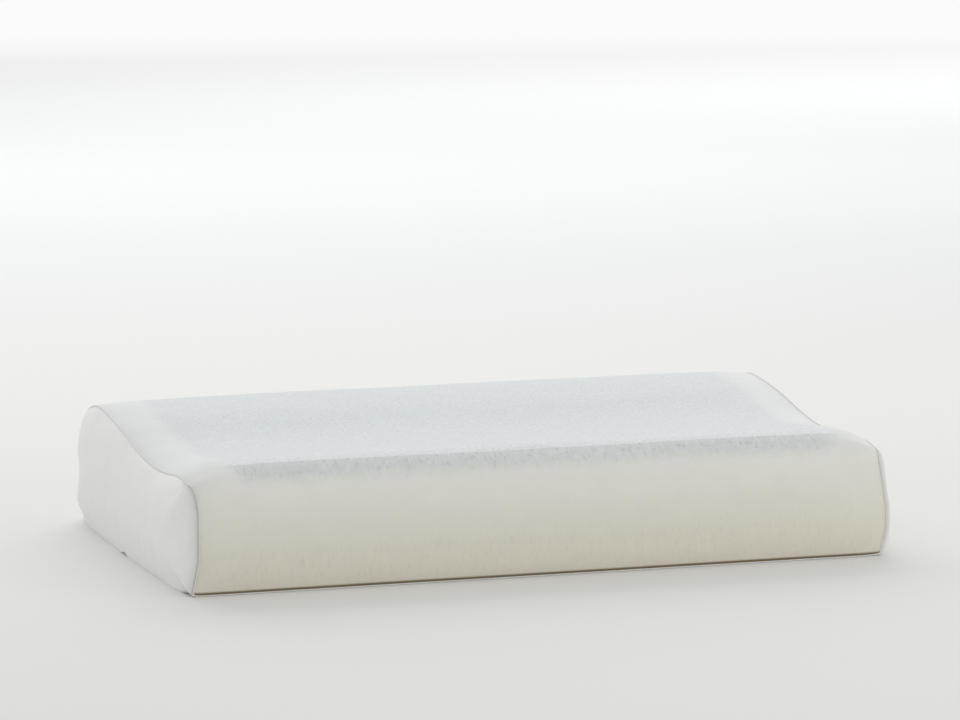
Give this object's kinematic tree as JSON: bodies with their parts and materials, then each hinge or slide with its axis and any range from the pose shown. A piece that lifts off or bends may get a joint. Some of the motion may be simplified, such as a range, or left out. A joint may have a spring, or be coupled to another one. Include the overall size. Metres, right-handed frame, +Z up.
{
  "type": "contour bed pillow",
  "caption": "Contour bed pillow: foam core with a low front lobe, a high back lobe and a gel pad, in a sewn knitted cover with a zip along the back",
  "frame": {"origin": "middle of the base panel's underside, where the pillow lies on the bed", "axes": "+X along the pillow's length, +Y from the low front lobe to the high back lobe, +Z up"},
  "size_m": [0.512, 0.3166, 0.0945],
  "materials": {
    "memory_foam": "matte",
    "cooling_gel": "satin",
    "sheer_knit": "matte",
    "plain_knit": "matte",
    "sewing_thread": "matte",
    "zip_tape": "matte",
    "zip_nylon": "satin",
    "zip_metal": "satin",
    "label_satin": "satin"
  },
  "bodies": {
    "pillow": {"foam_core": "memory_foam", "gel_pad": "cooling_gel", "wrap_panel": "sheer_knit", "base_panel": "plain_knit", "front_seam": "sewing_thread", "left_end_panel": "plain_knit", "right_end_panel": "plain_knit", "left_end_seam": "sewing_thread", "right_end_seam": "sewing_thread", "zip_tape_lower": "zip_tape", "zip_tape_upper": "zip_tape", "zip_coil_lower": "zip_nylon", "zip_coil_upper": "zip_nylon", "zip_top_stops": "zip_metal", "zip_bottom_stop": "zip_metal", "zip_stitching": "sewing_thread", "care_label": "label_satin"},
    "slider": {"zip_slider": "zip_metal"},
    "pull": {"zip_pull": "zip_metal"}
  },
  "joints": [
    {"name": "zip_slide", "type": "slide", "parent": "pillow", "child": "slider", "axis": [1, 0, 0], "range_m": [-0.429, 0]},
    {"name": "pull_swing", "type": "hinge", "parent": "slider", "child": "pull", "pos_m": [0.2145, 0.1591, 0.018], "axis": [0, 0, -1], "range_deg": [0, 180]}
  ]
}
